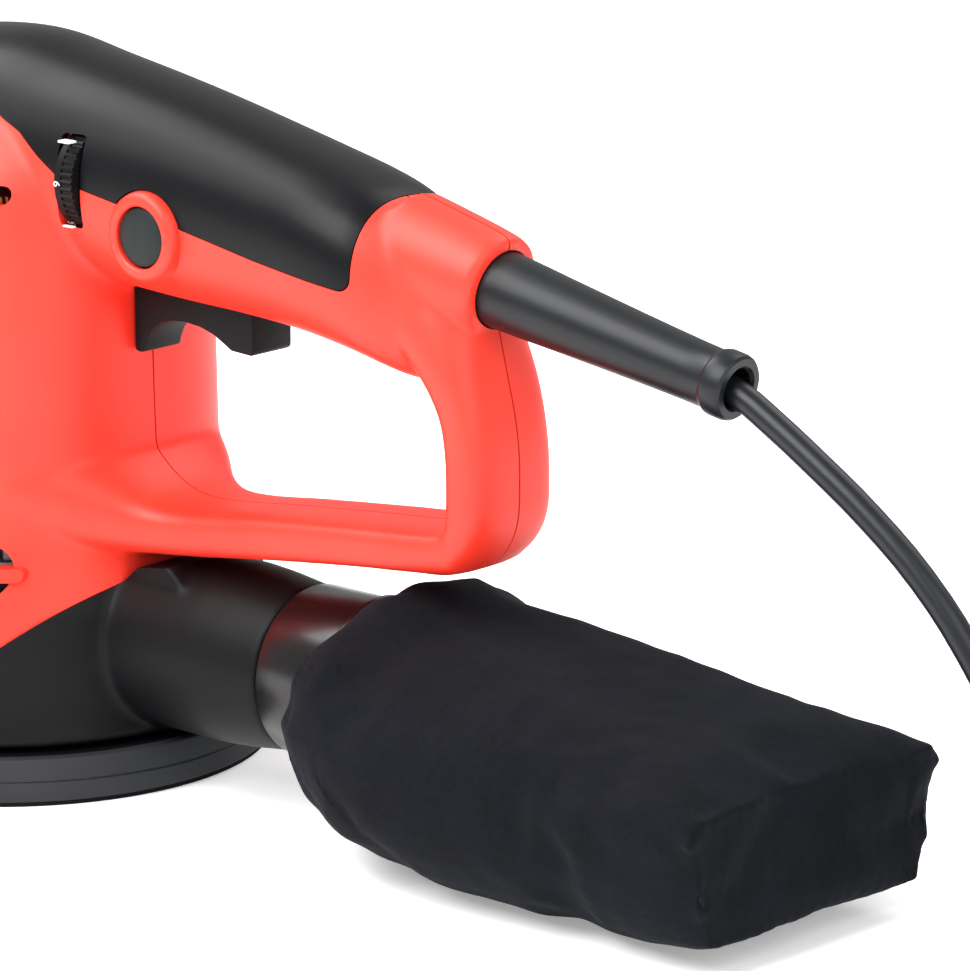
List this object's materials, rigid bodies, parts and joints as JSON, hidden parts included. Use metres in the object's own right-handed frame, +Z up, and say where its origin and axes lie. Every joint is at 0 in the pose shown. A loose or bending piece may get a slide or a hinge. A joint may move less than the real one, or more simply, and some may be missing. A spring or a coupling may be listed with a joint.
{
  "type": "dual action polisher",
  "caption": "Hand-held random-orbit polisher and sander with a closed D handle, trigger, lock-on button, speed wheel, round hook pad, cloth dust bag and mains lead.",
  "frame": {"origin": "motor axis at the working face of the pad", "axes": "+X towards the D handle and dust bag, +Z up along the motor axis, -Y the side with the speed wheel and lock button"},
  "size_m": [0.4459, 0.1461, 0.178],
  "materials": {
    "red_shell": "fine moulded texture",
    "soft_grip": "satin soft-touch",
    "badge_plate": "satin",
    "black_housing": "fine moulded texture",
    "black_gloss": "smooth",
    "steel": "turned",
    "plate_metal": "die cast",
    "copper": "enamelled wire",
    "brass_part": "stamped",
    "carbon": "pressed carbon",
    "board": "laminate",
    "film_yellow": "smooth",
    "seal_rubber": "moulded",
    "cord_sheath": "satin",
    "guard_rubber": "satin",
    "plug_plastic": "satin",
    "pin_metal": "nickel plated",
    "foam": "moulded foam",
    "hook": "hook tape",
    "button_plastic": "satin",
    "bag_cloth": "woven"
  },
  "bodies": {
    "root": {"housing_left": "red_shell", "housing_right": "red_shell", "top_grip": "soft_grip", "badge_left": "badge_plate", "badge_right": "badge_plate", "housing_screws": "steel", "lower_housing": "black_housing", "brake_ring": "seal_rubber", "shroud_screws": "steel", "bearing_plate": "plate_metal", "lower_bearing": "steel", "upper_bearing": "steel", "stator_core": "steel", "stator_coils": "copper", "brush_holders": "brass_part", "carbon_brushes": "carbon", "brush_springs": "steel", "switch_module": "plug_plastic", "capacitor": "film_yellow", "speed_board": "board", "button_sleeve": "black_housing", "trigger_spring": "steel", "lock_spring": "steel", "cord_clamp": "black_housing", "clamp_screws": "steel", "cord_tail": "cord_sheath", "cord_guard": "guard_rubber", "cord_lead": "cord_sheath", "cord_coil": "cord_sheath", "plug_body": "plug_plastic", "plug_pins": "pin_metal"},
    "armature": {"armature_shaft": "steel", "armature_core": "steel", "armature_windings": "copper", "commutator": "copper", "cooling_fan": "black_housing", "dust_fan": "black_housing", "counterweight": "steel"},
    "pad": {"pad_bearing": "steel", "pad_hub": "plate_metal", "pad_plate": "black_housing", "pad_foam": "foam", "hook_face": "hook", "pad_screws": "steel"},
    "trigger": {"trigger": "black_housing"},
    "lock_button": {"lock_button": "button_plastic"},
    "speed_dial": {"speed_dial": "black_gloss"},
    "bag": {"bag_adapter": "black_gloss", "dust_bag": "bag_cloth"}
  },
  "joints": [
    {"name": "motor_spin", "type": "hinge", "parent": "root", "child": "armature", "pos_m": [0, 0, 0.1], "axis": [0, 0, 1], "continuous": true},
    {"name": "pad_spin", "type": "hinge", "parent": "armature", "child": "pad", "pos_m": [0.002, 0, 0.02], "axis": [0, 0, 1], "continuous": true},
    {"name": "trigger_pull", "type": "slide", "parent": "root", "child": "trigger", "axis": [0, 0, 1], "range_m": [0, 0.004], "stiffness_N_per_m": 900, "springref_m": -0.003},
    {"name": "lock_press", "type": "slide", "parent": "root", "child": "lock_button", "axis": [0, 1, 0], "range_m": [0, 0.003], "stiffness_N_per_m": 600, "springref_m": -0.002},
    {"name": "dial_turn", "type": "hinge", "parent": "root", "child": "speed_dial", "pos_m": [0.048, -0.014, 0.1478], "axis": [1, 0, 0], "range_deg": [-250, 0]},
    {"name": "bag_pull", "type": "slide", "parent": "root", "child": "bag", "axis": [1, 0, 0], "range_m": [0, 0.036]}
  ]
}
